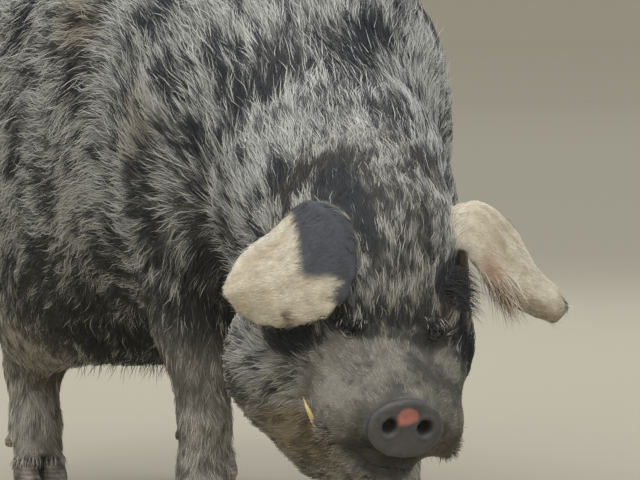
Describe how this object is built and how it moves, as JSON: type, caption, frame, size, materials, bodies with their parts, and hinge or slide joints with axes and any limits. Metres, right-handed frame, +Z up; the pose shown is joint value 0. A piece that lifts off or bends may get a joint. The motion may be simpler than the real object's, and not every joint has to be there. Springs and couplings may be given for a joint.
{
  "type": "kunekune pig, life-size animal model",
  "caption": "Life-size standing kunekune pig with a hairy roan coat, half-lopped cream ears, a short upturned snout and small tusks, head lowered.",
  "frame": {"origin": "on the floor under the middle of the whole animal's bounding box", "axes": "+Z up, -Y ahead (the way the pig faces), +X to its left"},
  "size_m": [0.5124, 1.3728, 0.7917],
  "materials": {
    "coat": "coarse roan hair, silver-grey over charcoal with dark blotches",
    "ear_coat": "short cream hair, dark grey at the root",
    "nose": "bare moist skin, dark grey with a pink patch",
    "eye": "wet gloss, dark brown",
    "tusk": "worn yellow ivory, semi-gloss",
    "horn": "dull horn with growth rings, pale scuffs at the edge"
  },
  "bodies": {
    "root": {"trunk": "coat", "neck": "coat", "head": "coat", "snout": "coat", "lower_jaw": "coat", "tail": "coat", "foreleg_left": "coat", "foreleg_right": "coat", "hindleg_left": "coat", "hindleg_right": "coat", "ear_left": "ear_coat", "ear_right": "ear_coat", "nose_disc": "nose", "eye_left": "eye", "eye_right": "eye", "tusk_left": "tusk", "tusk_right": "tusk", "claw_fore_left_inner": "horn", "claw_fore_left_outer": "horn", "claw_fore_right_inner": "horn", "claw_fore_right_outer": "horn", "claw_hind_left_inner": "horn", "claw_hind_left_outer": "horn", "claw_hind_right_inner": "horn", "claw_hind_right_outer": "horn", "dewclaw_fore_left_inner": "horn", "dewclaw_fore_left_outer": "horn", "dewclaw_fore_right_inner": "horn", "dewclaw_fore_right_outer": "horn", "dewclaw_hind_left_inner": "horn", "dewclaw_hind_left_outer": "horn", "dewclaw_hind_right_inner": "horn", "dewclaw_hind_right_outer": "horn"}
  },
  "joints": []
}
